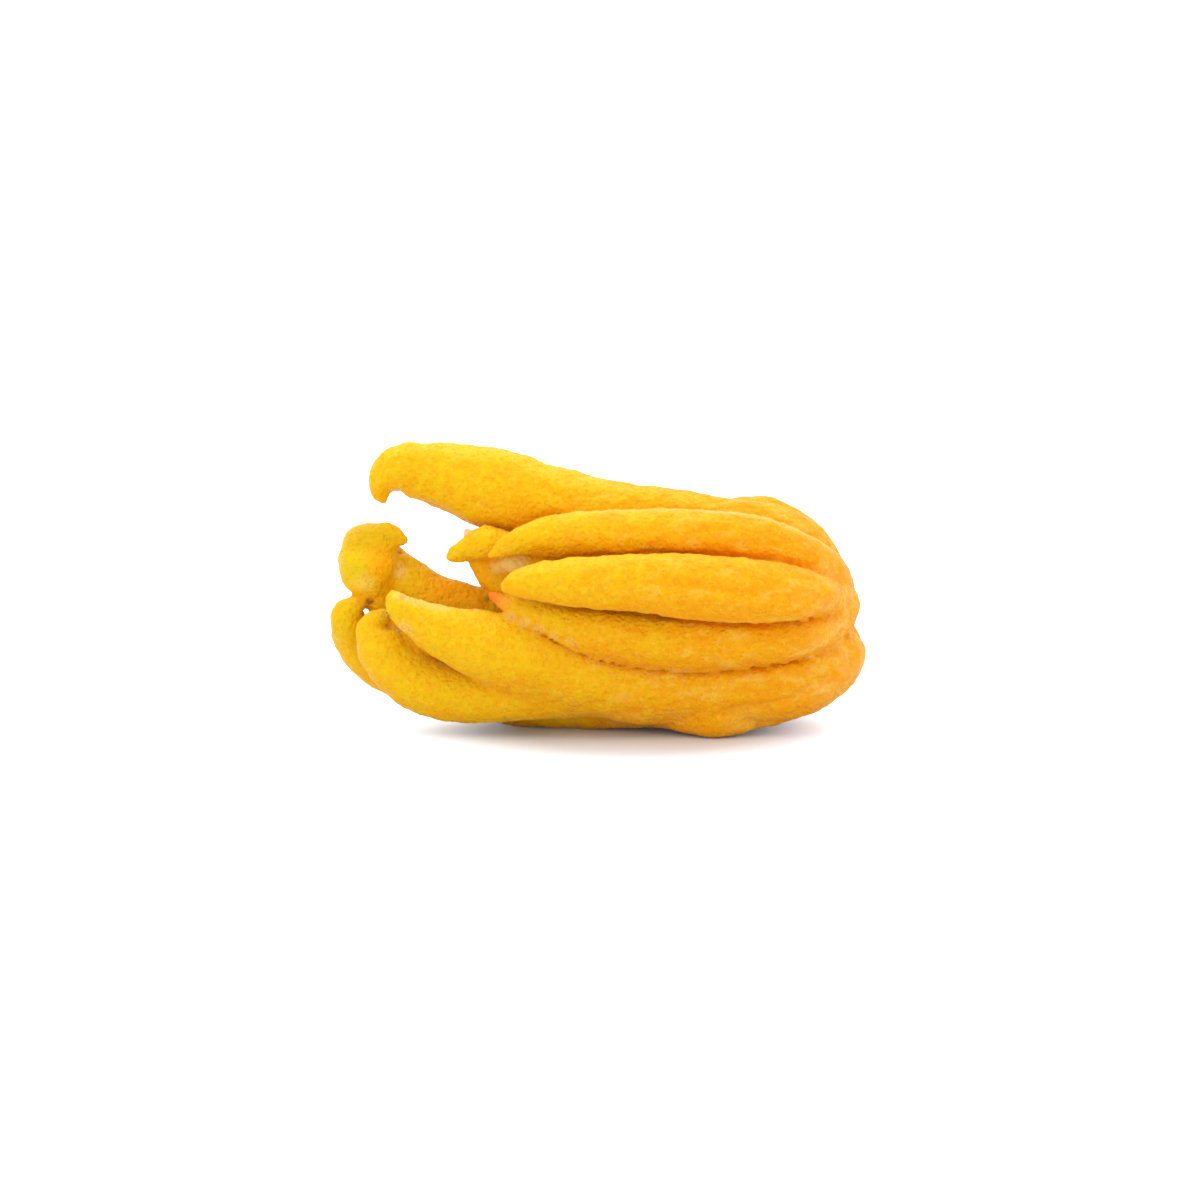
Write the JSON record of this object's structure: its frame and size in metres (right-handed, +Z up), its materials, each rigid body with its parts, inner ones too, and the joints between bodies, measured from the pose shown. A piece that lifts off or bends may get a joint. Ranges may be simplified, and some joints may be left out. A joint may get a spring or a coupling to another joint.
{
  "type": "buddhas hand citron",
  "caption": "Whole Buddha's hand citron lying on its side: curling tapered fingers fused into a ribbed palm, with a small woody stem button.",
  "frame": {"origin": "centre of the bounding box in x and y, on the surface that the fruit rests on", "axes": "+X along the fruit towards the stem end, fingertips towards -X, +Z up, -Y the side with three long fingers lying side by side"},
  "size_m": [0.1906, 0.1082, 0.1024],
  "materials": {
    "peel": "ripe yellow citrus peel, waxy, with fine oil glands, more orange towards the palm",
    "stem_wood": "dry brown-green calyx and cut stalk"
  },
  "bodies": {
    "root": {"fruit": "peel", "stem_button": "stem_wood"}
  },
  "joints": []
}
